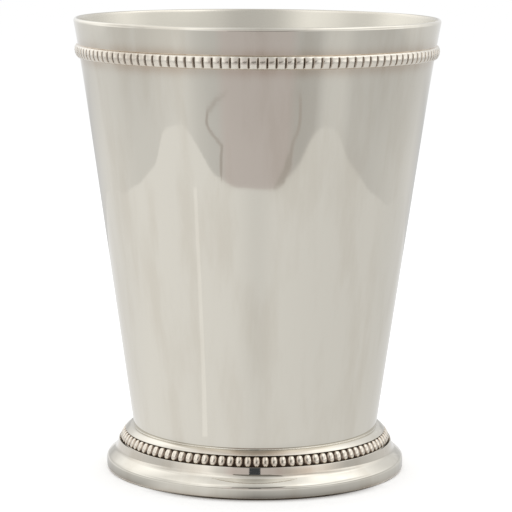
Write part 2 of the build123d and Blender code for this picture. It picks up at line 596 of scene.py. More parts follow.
@dataclass(frozen=True)
class WallOutline:
    """Outline of the cup's wall: a straight taper from the foot, then a tangent flare to the lip.

    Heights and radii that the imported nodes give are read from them; the rest are fields, in millimetres.
    """

    base_radius: float = 29.29
    thickness: float = 0.9
    flare_height: float = 20.0
    flare_reach: float = 0.4
    band_drop: float = 7.9
    band_half_width: float = 1.55
    band_raise: float = 0.18

    @property
    def lip_radius(self) -> float:
        """Outside radius at the lip."""
        return float(node_box("cup_wall")[1][0])

    @property
    def top(self) -> float:
        """Height of the wall's upper edge."""
        return float(node_box("cup_wall")[1][2])

    @property
    def foot(self) -> float:
        """Height of the wall's lower edge, inside the foot."""
        return float(node_box("cup_wall")[0][2])

    @property
    def shoulder(self) -> float:
        """Height at which the wall leaves the foot."""
        return float(node_box("foot_ring")[1][2])

    @property
    def band_height(self) -> float:
        """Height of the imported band's middle, under the lip."""
        return float(node_box("lip_wire")[1][2]) - self.band_drop

    @property
    def band_edges(self) -> tuple[float, float]:
        """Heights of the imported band's lower and upper edge."""
        return self.band_height - self.band_half_width, self.band_height + self.band_half_width

    def flare(self) -> tuple[float, float, np.ndarray, float]:
        """Work out the straight taper and the flare's circle.

        Returns:
            Slope of the taper, height at which the flare starts, and the circle's centre (radius, height)
            and radius. The circle holds the taper as a tangent and passes through the lip.
        """
        slope = (self.lip_radius - self.flare_reach - self.base_radius) / (self.top - self.shoulder)
        angle = atan(slope)
        low = self.top - self.flare_height
        start = np.array([self.base_radius + slope * (low - self.shoulder), low])
        chord = np.array([self.lip_radius, self.top]) - start
        off = np.array([cos(angle), -sin(angle)])
        radius = chord @ chord / (2 * chord @ off)
        return slope, low, start + off * radius, float(radius)

    def outside(self, height: np.ndarray) -> np.ndarray:
        """Give the outside radius at each height."""
        slope, start, centre, radius = self.flare()
        tapered = self.base_radius + slope * (height - self.shoulder)
        curved = centre[0] - np.sqrt(radius**2 - (height - centre[1]) ** 2)
        return np.where(height <= start, tapered, curved)

    def inside(self, height: np.ndarray) -> np.ndarray:
        """Give the inside radius at each height, a wall thickness in along the wall's normal."""
        slope, start, centre, radius = self.flare()
        tapered = self.base_radius + slope * (height - self.shoulder) - self.thickness / cos(atan(slope))
        reach = radius + self.thickness
        curved = centre[0] - np.sqrt(reach**2 - (height - centre[1]) ** 2)
        return np.where(height <= start - self.thickness * slope, tapered, curved)

    def lean(self, height: float) -> float:
        """Give how far, in radians, the outside looks below the horizontal at a height."""
        slope, start, centre, radius = self.flare()
        return atan(slope) if height <= start else asin((height - centre[1]) / radius)

    def band_seat(self) -> BandSeat:
        """Give the seat of the band under the lip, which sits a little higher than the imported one."""
        lean = -float(np.degrees(self.lean(self.band_height)))
        radius = float(self.outside(np.array(self.band_height))) + SOLDER_GAP / cos(radians(lean))
        return BandSeat(radius, self.band_height + self.band_raise, lean)


@dataclass(frozen=True)
class CupBody:
    """The tapered sheet wall, the let-in floor and the solder run between them. Sizes in millimetres."""

    outline: WallOutline
    rows: int = 72
    joint_rows: int = 17
    joint_reach: float = 3.0
    shoulder_rows: int = 12
    shoulder_reach: float = 4.0
    top_rows: tuple[float, ...] = (0.1, 0.05)
    joint_stain: float = 0.38
    stain_reach: float = 1.5
    inside_stain: float = 0.3
    inside_stain_reach: float = 6.0
    painted_lift_from: float = 22.0
    painted_lift_full: float = 48.0
    floor_ring_count: int = 40
    floor_stain: float = 0.5
    floor_stain_reach: float = 2.5
    under_stain: float = 0.4
    solder_leg: float = 0.8
    solder_hollow: float = 0.22
    solder_count: int = 9

    def stains(self, height: np.ndarray) -> np.ndarray:
        """Give how brown the outside is at each height: most along both edges of the band."""
        brown = sum(near(height, level, self.stain_reach) for level in self.outline.band_edges)
        return np.clip(brown, 0, 1) * self.joint_stain

    def wall(self) -> Piece:
        """Build the wall: up the outside, across the top edge and down the inside.

        The section is (R(h), h) outside and (R(h) - t, h) inside, with rows drawn closer together
        along the joints so that the stains there stay narrow.
        """
        line = self.outline
        spread = np.linspace(line.foot, line.top, self.rows)
        close = np.concatenate([
            *(np.linspace(level - self.joint_reach, level + self.joint_reach, self.joint_rows)
              for level in line.band_edges),
            np.linspace(line.shoulder, line.shoulder + self.shoulder_reach, self.shoulder_rows),
            line.top - np.array(self.top_rows),
        ])
        # Rounded, so that two rows at one height count as one.
        height = np.unique(np.concatenate([spread, close[close < line.top]]).round(4))
        down = spread[::-1]
        outside = np.stack([line.outside(height), height], -1)
        inside = np.stack([line.inside(down), down], -1)
        points, quads = spun(np.vstack([outside, inside]))
        # Painted light: the inside is paler further down.
        below = np.clip((line.top - down - self.painted_lift_from) / (self.painted_lift_full - self.painted_lift_from), 0, 1)
        inner_stain = self.inside_stain * near(down, line.foot, self.inside_stain_reach)
        plain = np.zeros(len(height))
        around = {
            Mark.INSIDE: np.concatenate([plain, np.ones(len(down))]),
            Mark.STAIN: np.concatenate([self.stains(height), inner_stain]),
            Mark.DEEP: np.concatenate([plain, below]),
        }
        marks = {mark: np.tile(values, SEGMENTS) for mark, values in around.items()}
        return new_mesh_object("cup_wall_sheet", points, quads, marks, CREASE)

    def floor(self) -> Piece:
        """Build the floor disc: the section runs from the axis below, up the edge, to the axis above."""
        low_box, high_box = node_box("cup_floor")
        low, high, edge = low_box[2], high_box[2], high_box[0]
        slope = self.outline.flare()[0]
        across = np.linspace(0, 1, self.floor_ring_count)
        below = np.stack([across * (edge - slope * (high - low)), np.full_like(across, low)], -1)
        above = np.stack([across[::-1] * edge, np.full_like(across, high)], -1)
        points, faces = spun_disc(np.vstack([below, above]))
        upper = points[:, 2] > (low + high) / 2
        by_wall = near(np.hypot(points[:, 0], points[:, 1]), edge, self.floor_stain_reach)
        stain = np.where(upper, self.floor_stain * by_wall, self.under_stain)
        # The floor's upper face takes the same painted light as the deep inside.
        marks = {Mark.INSIDE: np.ones(len(points)), Mark.STAIN: stain, Mark.DEEP: upper.astype(float)}
        return new_mesh_object("cup_floor_disc", points, faces, marks, CREASE)

    def floor_solder(self) -> Piece:
        """Build the solder run in the corner: two legs and a hollow face between their ends."""
        low, high = node_box("floor_solder")
        slope = self.outline.flare()[0]
        corner = np.array([high[0] - slope * (high[2] - low[2]), low[2]])
        leg_in = corner - [self.solder_leg, 0]
        leg_up = np.array([high[0], high[2]])
        hollow = arc(leg_up, leg_in, -self.solder_hollow * self.solder_leg, self.solder_count)
        points, quads = spun(np.vstack([corner, hollow]))
        return new_mesh_object("cup_floor_solder_run", points, quads, crease=CREASE)

    def build(self, plate: Material, solder: Material) -> list[Piece]:
        """Build and dress the pieces.

        Args:
            plate: finish of wall and floor.
            solder: finish of the solder run.

        Returns:
            The pieces.
        """
        return [
            placed(self.wall(), "cup_wall", plate),
            placed(self.floor(), "cup_floor", plate),
            placed(self.floor_solder(), "floor_solder", solder),
        ]


@dataclass(frozen=True)
class Lip:
    """The half-round wire along the top edge, dressed down until it runs into the wall on both sides.

    The pull is how far the curves keep the direction of the wall, as a share of the wire's height.
    """

    outline: WallOutline
    pull: float = 0.55
    count: int = 18
    crease: float = 60.0

    def wire(self) -> Piece:
        """Build the wire: a cubic from the wall's outside up to the crown, another one down to the
        wall's inside, and the flat seat on the wall's top edge."""
        line = self.outline
        top = node_box("lip_wire")[1][2]
        rise = (top - line.top) * self.pull
        outer = np.array([line.lip_radius, line.top])
        inner = np.array([float(line.inside(np.array(line.top))), line.top])
        crown = np.array([(outer[0] + inner[0]) / 2, top])
        half = (outer[0] - inner[0]) / 2 * self.pull
        lean = line.lean(line.top)
        way = np.array([sin(lean), cos(lean)]) * rise
        outside = bezier([outer, outer + way, crown + [half, 0], crown], self.count)
        over = bezier([crown, crown - [half, 0], inner + way, inner], self.count)
        section = np.vstack([outside, over[1:]])
        points, quads = spun(section)
        inside = np.clip((crown[0] - section[:, 0]) / (crown[0] - inner[0]), 0, 1)
        marks = {Mark.INSIDE: np.tile(inside, SEGMENTS), Mark.STAIN: np.zeros(len(points))}
        return new_mesh_object("lip_wire_half_round", points, quads, marks, self.crease)

    def build(self, plate: Material) -> list[Piece]:
        """Build and dress the wire."""
        return [placed(self.wire(), "lip_wire", plate)]


@dataclass(frozen=True)
class BeadBand:
    """Beaded wire on its seat: a flat strip that carries barrel beads with slots between them.

    Sizes in millimetres, angles in degrees. A bead stands out from the strip by
    h (1 - |t/c|^m)^(1/m) (1 - |s/a|^p)^(1/p), where s runs round the cup, t up the band, c is half
    the bead's length, and the half width a narrows towards the ends with the square of t, more at the
    lower end where there is a skew. Slots are open up to a share of the half length; past it,
    neighbouring beads run together. One stretch of the band is a patch that is browner than the rest.
    """

    seat: BandSeat
    node: str
    bead_length: float
    end_width: float
    length_power: float
    width_power: float
    # Few lines per bead, because a band repeats it about a hundred times.
    lengthwise: tuple[float, ...]
    sidewise: tuple[float, ...]
    first_turn: float
    strip_margin: float
    slot_reach: float
    slot_floor: float
    margin_stain: float
    slot_wall_stain: float
    end_wall_stain: float
    patch: float
    patch_turn: float
    patch_half: float
    fullness: float = 1.0
    skew: float = 0.0
    crease: float | None = None
    bead_width: float = 1.68
    bead_gap: float = 0.39
    strip_thickness: float = 0.25
    bridge: float = 0.85
    top_stain: float = 0.3
    uneven: float = 0.02
    seed: int = 7

    def recesses(self) -> np.ndarray:
        """Give how much sulphide the points of one bead keep: all in the open slot, some on the slot's
        walls, more of it towards their ends, and some along the two margins of the strip.

        Returns:
            A number for each line round the cup, the slot's middle first, and each row of the section.
        """
        share, side = np.abs(self.lengthwise), np.abs(self.sidewise)
        open_slot = share < self.slot_reach
        browner = self.slot_wall_stain + (self.end_wall_stain - self.slot_wall_stain) * share**2
        walls = np.where((side[:, None] == side.max()) & open_slot, browner, 0.0)
        hollow = np.vstack([np.where(open_slot, 1.0, self.margin_stain), walls])
        hollow[:, 0], hollow[:, -1] = self.margin_stain, self.top_stain
        return np.concatenate([hollow, hollow[:, -1:], hollow[:, :1]], -1)

    def band(self) -> Piece:
        """Build strip and beads as one closed ring.

        Round the cup the grid has the middle of a slot and then the bead's lines, and round the
        section it has the bead's rows and the flat back.
        """
        half_length = self.bead_length / 2
        half_band = half_length + self.strip_margin
        crest = self.strip_thickness / 2 + self.bead_width / 2
        out_way, up_way = self.seat.ways()
        crest_radius = self.seat.radius + out_way[0] * crest
        count = round(TURN * crest_radius / (self.bead_width + self.bead_gap))
        share, side = np.array(self.lengthwise), np.array(self.sidewise)
        draws = np.random.default_rng(self.seed)
        taller = 1 + self.uneven * draws.standard_normal(count)
        height_of = (crest - self.strip_thickness) * taller[:, None, None]
        shift_of = self.uneven * self.bead_width / 2 * draws.standard_normal(count)[:, None, None]

        end = np.clip(1 - np.abs(share) ** self.length_power, 0, 1) ** (1 / self.length_power)
        round_over = np.clip(1 - np.abs(side) ** self.width_power, 0, 1) ** (1 / self.width_power)
        narrow = 1 - (1 - self.end_width / self.bead_width) * share**2 + self.skew * share * np.abs(share)
        rise = round_over[:, None] * end
        bridged = self.strip_thickness + self.bridge * end * height_of.mean()
        slot_out = np.where(np.abs(share) < self.slot_reach, self.slot_floor, bridged)
        bead_out = np.concatenate([
            np.broadcast_to(slot_out, (count, 1, len(share))),
            self.strip_thickness + rise * height_of,
        ], 1)
        slot_turn = np.full((count, 1, len(share)), -pi / count)
        line_turn = (side[:, None] * narrow * self.fullness * self.bead_width / 2 + shift_of) / crest_radius
        bead_turn = np.concatenate([slot_turn, line_turn], 1)

        lines = 1 + len(side)
        out = np.concatenate([bead_out, np.zeros((count, lines, 2))], -1)
        along = np.concatenate([share * half_length, [half_band, -half_band]])
        turn = np.concatenate([bead_turn, bead_turn[..., :1], bead_turn[..., :1]], -1)
        angle = turn + (np.arange(count) * TURN / count + radians(self.first_turn))[:, None, None]
        radius = self.seat.radius + out_way[0] * out + up_way[0] * along
        height = self.seat.height + out_way[1] * out + up_way[1] * along
        points = np.stack([radius * np.cos(angle), radius * np.sin(angle), height], -1).reshape(-1, 3)

        browned = self.patch * near(front_turn(points), self.patch_turn, self.patch_half)
        marks = {Mark.RECESS: np.tile(self.recesses(), (count, 1, 1)).ravel() + browned}
        quads = grid_quads(count * lines, out.shape[-1])
        return new_mesh_object(self.node + "_wire", points, quads, marks, self.crease)

    def build(self, beads: Material) -> list[Piece]:
        """Build and dress the band."""
        return [placed(self.band(), self.node, beads)]


@dataclass(frozen=True)
class RimBeads(BeadBand):
    """The band under the lip: square-sided beads that run together at both ends."""

    node: str = "rim_bead_band"
    bead_length: float = 3.0
    end_width: float = 1.66
    length_power: float = 2.0
    width_power: float = 8.0
    lengthwise: tuple[float, ...] = (-1.0, -0.94, -0.82, -0.66, -0.25, 0.25, 0.66, 0.82, 0.94, 1.0)
    sidewise: tuple[float, ...] = (-0.95, -0.76, 0.76, 0.95)
    first_turn: float = -0.45
    strip_margin: float = 0.05
    slot_reach: float = 0.72
    slot_floor: float = 0.35
    margin_stain: float = 0.3
    slot_wall_stain: float = 0.6
    end_wall_stain: float = 0.6
    patch: float = 0.3
    patch_turn: float = -46.0
    patch_half: float = 20.0
    crease: float | None = CREASE


@dataclass(frozen=True)
class FootBeads(BeadBand):
    """The band in the foot's groove: full barrels, narrower below, with slots open from end to end."""

    node: str = "foot_bead_band"
    bead_length: float = 2.6
    end_width: float = 0.85
    length_power: float = 2.4
    width_power: float = 2.3
    lengthwise: tuple[float, ...] = (-1.0, -0.88, -0.66, -0.3, 0.3, 0.66, 0.88, 1.0)
    sidewise: tuple[float, ...] = (-0.91, -0.5, 0.5, 0.91)
    first_turn: float = -1.1
    strip_margin: float = 0.02
    slot_reach: float = 1.0
    slot_floor: float = 0.16
    margin_stain: float = 0.8
    slot_wall_stain: float = 0.4
    end_wall_stain: float = 1.1
    patch: float = 0.25
    patch_turn: float = 2.0
    patch_half: float = 15.0
    fullness: float = 1.1
    skew: float = 0.15


@dataclass(frozen=True)
class RimSolder:
    """The two solder runs along the edges of the band under the lip. Sizes in millimetres."""

    outline: WallOutline
    bedding: float = 0.08
    leg: float = 0.32
    rise: float = 0.2
    hollow: float = 0.05
    count: int = 6

    def runs(self) -> Piece:
        """Build both runs: each is a corner with two legs, bedded into wall and strip, and a hollow face."""
        band = self.outline.band_seat()
        out, up = band.ways()
        seat = np.array([band.radius, band.height]) - out * self.bedding
        inner = self.outline.band_half_width - self.bedding
        outer = inner + self.leg + self.bedding
        made = []
        for side in (1, -1):
            corner = seat + side * up * inner
            # The lower run is drawn the other way, so that its faces look outwards too.
            ends = (corner + out * self.rise, seat + side * up * outer)[::side]
            made.append(spun(np.vstack([corner, arc(*ends, -self.hollow, self.count)])))
        (upper, upper_quads), (lower, lower_quads) = made
        quads = np.vstack([upper_quads, lower_quads + len(upper)])
        return new_mesh_object("rim_band_solder_runs", np.vstack([upper, lower]), quads, crease=CREASE)

    def build(self, solder: Material) -> list[Piece]:
        """Build and dress the runs."""
        return [placed(self.runs(), "rim_band_solder", solder)]


@dataclass(frozen=True)
class Foot:
    """The hollow moulded ring under the cup and the solder run on its shoulder.

    Members from the wall outwards and down: ledge, shoulder, bead groove, listel, ovolo and edge band,
    with a soft hollow between listel and ovolo. Sizes in millimetres, angles in degrees.
    """

    outline: WallOutline
    shoulder_width: float = 2.06
    shoulder_drop: float = 0.97
    shoulder_ledge: float = 0.8
    shoulder_bulge: float = 0.05
    shoulder_count: int = 16
    shoulder_painted_shade: float = 0.6
    shoulder_painted_shade_half: float = 24.0
    groove_lean: float = 27.0
    groove_depth: float = 0.75
    groove_lip: float = 0.25
    groove_width: float = 2.76
    seat_raise: float = 0.06
    listel: tuple[float, float] = (0.6, -2.15)
    listel_rows: tuple[float, ...] = (0.1, 0.14, 0.5, 0.9)
    listel_brown: float = 0.15
    listel_patch_brown: float = 0.5
    patch_turn: float = 20.0
    patch_half: float = 9.0
    cove_round: float = 0.65
    cove_count: int = 12
    ovolo_bulge: float = 0.06
    ovolo_count: int = 31
    brow_height: float = 2.9
    brow_round: float = 0.6
    brow_count: int = 16
    edge_inset: float = 0.1
    edge_draft: float = 0.02
    edge_round: float = 0.65
    edge_count: int = 5
    edge_round_count: int = 9
    corner_round: float = 0.08
    thickness: float = 1.4
    low_tarnish_and_shade: float = 0.4
    low_tarnish_and_shade_reach: float = 0.9
    under_stain: float = 0.6
    solder_leg: float = 0.35
    solder_shown: float = 0.16
    solder_hollow: float = 0.04
    solder_count: int = 7
    bedding: float = 0.08

    def band_seat(self) -> BandSeat:
        """Give the seat of the beaded wire: the middle of the groove's floor, raised a little along it."""
        lean = radians(self.groove_lean)
        off, along = SOLDER_GAP - self.groove_depth, self.groove_width / 2 - self.seat_raise
        radius = self.outline.base_radius + self.shoulder_width + cos(lean) * off + sin(lean) * along
        height = self.outline.shoulder - self.shoulder_drop + sin(lean) * off - cos(lean) * along
        return BandSeat(radius, height, self.groove_lean)

    def section(self) -> tuple[np.ndarray, np.ndarray, float, float]:
        """Draw the ring's section: down the mouldings outside, over the edge and up the hollow inside.

        Shoulder and ovolo are circular arcs, the hollow over the ovolo and the brow under it are
        quadratic curves, and the outer corners are eased so that they catch light.

        Returns:
            Points of the outside, points of the hollow inside, and the listel's upper and lower height.
        """
        foot_radius = node_box("foot_ring")[1][0] - self.edge_inset
        base, top = self.outline.base_radius, self.outline.shoulder
        lean = radians(self.groove_lean)
        out, down = np.array([cos(lean), sin(lean)]), np.array([sin(lean), -cos(lean)])
        bore_top = np.array([base + SOLDER_GAP, top])
        ledge = np.array([base + self.shoulder_ledge, top])
        groove_top = np.array([base + self.shoulder_width, top - self.shoulder_drop])
        seat_top = groove_top - out * self.groove_depth
        seat_foot = seat_top + down * self.groove_width
        groove_foot = seat_foot + out * (self.groove_depth + self.groove_lip)
        listel_foot = groove_foot + self.listel
        brow = np.array([foot_radius - self.edge_draft, self.brow_height])
        edge_foot = np.array([foot_radius, self.edge_round])
        edge_corner = np.array([foot_radius, 0.0])
        rest_outer = np.array([foot_radius - self.edge_round, 0.0])
        rest_inner = np.array([foot_radius - self.thickness, 0.0])
        slope = self.outline.flare()[0]
        bore_foot = np.array([bore_top[0] - slope * (top - self.outline.foot), self.outline.foot])

        shoulder = arc(ledge, groove_top, -self.shoulder_bulge, self.shoulder_count)
        ovolo = arc(listel_foot, brow, -self.ovolo_bulge, self.ovolo_count)
        from_listel = np.linalg.norm(ovolo - listel_foot, axis=1)
        from_brow = np.linalg.norm(ovolo - brow, axis=1)
        bare = ovolo[(from_listel > self.cove_round) & (from_brow > self.brow_round)]
        cove = eased(listel_foot, groove_foot, bare[0], self.cove_round, self.cove_count)
        turned = eased(brow, bare[-1], edge_foot, self.brow_round, self.brow_count)
        ovolo_out = np.array([listel_foot[1] - brow[1], brow[0] - listel_foot[0]])
        ovolo_out = ovolo_out / np.linalg.norm(ovolo_out)
        visible = np.vstack([
            bore_top,
            shoulder[:-1],
            eased(groove_top, shoulder[-2], seat_top, self.corner_round),
            seat_top,
            seat_foot,
            eased(groove_foot, seat_foot, listel_foot, self.corner_round),
            groove_foot + (cove[0] - groove_foot) * np.array(self.listel_rows)[:, None],
            cove,
            bare[1:-1],
            turned,
            np.linspace(turned[-1], edge_foot, self.edge_count)[1:-1],
            eased(edge_corner, edge_foot, rest_outer, self.edge_round, self.edge_round_count),
        ])
        hidden = np.vstack([
            rest_inner,
            brow - [self.thickness, 0],
            listel_foot - ovolo_out * self.thickness,
            seat_foot - out * self.thickness,
            bore_foot,
        ])
        return visible, hidden, groove_foot[1], listel_foot[1]

    def ring(self) -> Piece:
        """Build the ring: its section spun round, browner at the floor, on the listel and in front; low down
        the brown is partly painted contact shade, and on the shoulder in front it is painted shade.
        """
        visible, hidden, listel_top, listel_low = self.section()
        section = np.vstack([visible, hidden])[::-1]
        points, quads = spun(section)
        height = section[:, 1]
        under = np.concatenate([np.zeros(len(visible)), np.ones(len(hidden))])[::-1]
        # Low on the ring the brown is partly tarnished silver and partly painted contact shade.
        low = self.low_tarnish_and_shade * near(height, 0.0, self.low_tarnish_and_shade_reach) + self.under_stain * under
        listel_middle, listel_half = (listel_top + listel_low) / 2, (listel_top - listel_low) / 2
        on_listel = near(height, listel_middle, listel_half, FLAT_TOP) * (1 - under)
        half_drop = self.shoulder_drop / 2
        on_shoulder = near(height, self.outline.shoulder - half_drop, half_drop, FLAT_TOP) * (1 - under)
        front = front_turn(points).reshape(SEGMENTS, -1)
        # Painted shade: the shoulder is darkened in front, standing for a darker reflection there.
        painted_front_shade = self.shoulder_painted_shade * near(front, 0.0, self.shoulder_painted_shade_half)
        # The listel is browner all round, and most a little right of the front.
        browned = self.listel_brown + self.listel_patch_brown * near(front, self.patch_turn, self.patch_half)
        stain = np.clip(low + on_listel * browned + on_shoulder * painted_front_shade, 0, 1).ravel()
        marks = {Mark.INSIDE: np.tile(under, SEGMENTS), Mark.STAIN: stain}
        return new_mesh_object("foot_ring_moulded", points, quads, marks, CREASE)

    def solder(self) -> Piece:
        """Build the solder run on the shoulder: a corner, two legs bedded in, and a hollow face."""
        low, high = node_box("foot_solder")
        slope = self.outline.flare()[0]
        corner = np.array([high[0] - self.solder_leg, low[2]]) - self.bedding
        reach = self.solder_shown + self.bedding
        leg_out, leg_up = corner + [reach, 0], corner + [slope * reach, reach]
        face = arc(leg_out, leg_up, -self.solder_hollow, self.solder_count)
        points, quads = spun(np.vstack([corner, face]))
        return new_mesh_object("foot_solder_run", points, quads, crease=CREASE)

    def build(self, plate: Material, solder: Material) -> list[Piece]:
        """Build and dress the pieces.

        Args:
            plate: finish of the ring.
            solder: finish of the solder run.

        Returns:
            The pieces.
        """
        return [
            placed(self.ring(), "foot_ring", plate),
            placed(self.solder(), "foot_solder", solder),
        ]


def lit(piece: Piece, name: str, glow: str | Mark, strength: float = 1.0) -> Piece:
    """Dress a piece of the stage so that it glows by itself.

    Args:
        piece: the piece.
        name: name of its material.
        glow: one colour, or the attribute that carries the colours.
        strength: how brightly the colour glows.

    Returns:
        The same piece.
    """
    material, tree, output = new_material(name)
    if isinstance(glow, Mark):
        colour = add_node(tree, "Attribute", attribute_name=glow.value).outputs["Color"]
    else:
        colour = linear(glow)
    shader = add_node(tree, "Emission", {"Color": colour, "Strength": strength})
    tree.links.new(shader.outputs[0], output.inputs["Surface"])
    piece.data.materials.append(material)
    return piece


def mirrored_only(piece: Piece) -> Piece:
    """Keep a piece of the stage out of sight but for reflections."""
    piece.visible_camera = piece.visible_diffuse = piece.visible_shadow = piece.visible_transmission = False
    return piece


class TentPanel(Enum):
    """Cloth panels of the light tent, from the back round by the left, the front and the right.

    Each has its degrees from the front, its distance from the cup's axis in millimetres, and its glow
    at the floor, low on the wall, at mid height and overhead.
    """

    BACK_LEFT_HALF = (-180, 299, 0.6, 0.7, 0.8, 0.7)
    BACK_LEFT = (-160, 312, 0.7, 0.85, 1.1, 1.0)
    LEFT_REAR_CORNER = (-140, 345, 0.9, 0.95, 1.4, 1.6)
    LEFT_REAR = (-126, 310, 1.0, 1.0, 1.45, 1.7)
    LEFT_BRIGHT = (-107, 266, 0.98, 1.5, 1.45, 1.25)
    LEFT_SIDE = (-87, 251, 0.91, 1.45, 0.95, 1.4)
    LEFT_FRONT = (-70, 254, 0.91, 1.0, 1.0, 1.4)
    LEFT_CORNER_REAR = (-64, 282, 0.93, 1.15, 1.13, 1.45)
    LEFT_CORNER = (-48, 275, 0.99, 1.35, 1.24, 1.6)
    LEFT_FLAP = (-37, 244, 0.84, 1.5, 1.36, 1.5)
    LEFT_FLAP_EDGE = (-29, 222, 0.78, 1.2, 1.18, 1.2)
    OPENING_LEFT = (-15, 208, 0.72, 0.85, 0.82, 0.88)
    OPENING_MIDDLE = (0, 206, 0.7, 0.76, 0.76, 0.75)
    OPENING_RIGHT = (11, 206, 0.7, 0.76, 0.74, 0.8)
    OPENING_RIGHT_EDGE = (19, 215, 0.7, 0.78, 0.74, 0.92)
    RIGHT_FLAP_EDGE = (28, 229, 0.68, 1.0, 0.87, 1.15)
    RIGHT_FLAP = (36, 258, 0.69, 1.2, 0.86, 1.4)
    RIGHT_CORNER = (44, 271, 0.86, 1.4, 0.8, 1.75)
    RIGHT_CORNER_REAR = (54, 272, 0.88, 1.5, 0.9, 1.85)
    RIGHT_FRONT = (62, 252, 0.78, 1.6, 0.95, 1.8)
    RIGHT_SIDE = (84, 241, 0.78, 1.65, 1.0, 1.65)
    RIGHT_BRIGHT = (107, 253, 0.84, 1.3, 1.35, 1.9)
    RIGHT_REAR_CORNER = (136, 330, 0.88, 0.9, 1.0, 1.2)
    BACK_RIGHT = (160, 312, 0.7, 0.85, 1.0, 0.85)
    BACK_RIGHT_HALF = (180, 299, 0.6, 0.7, 0.8, 0.7)


class TentSeam(Enum):
    """Seams and folds of the tent's front flaps.

    Each has half its width in millimetres and a run of (degrees from the front, height in millimetres).
    """

    LEFT = (3.4, (
        (-17, 26.4), (-25, 22.4), (-30.6, 18), (-31.7, 15.2), (-30, 14.2), (-26, 13.6), (-21.8, 12.2),
        (-22.7, 8.8), (-23, 4.2), (-23, 0.6),
    ))
    RIGHT = (3.8, (
        (23, 22.7), (26, 20), (27, 17.5), (26.8, 15.2), (25.6, 12.9), (22.8, 11.2), (21.9, 8), (21.6, 3.6),
        (18, 1.0),
    ))
    FOLD = (9.0, ((20.5, 8.5), (19.5, 4.5), (16.5, 2.0), (11, 1.0)))


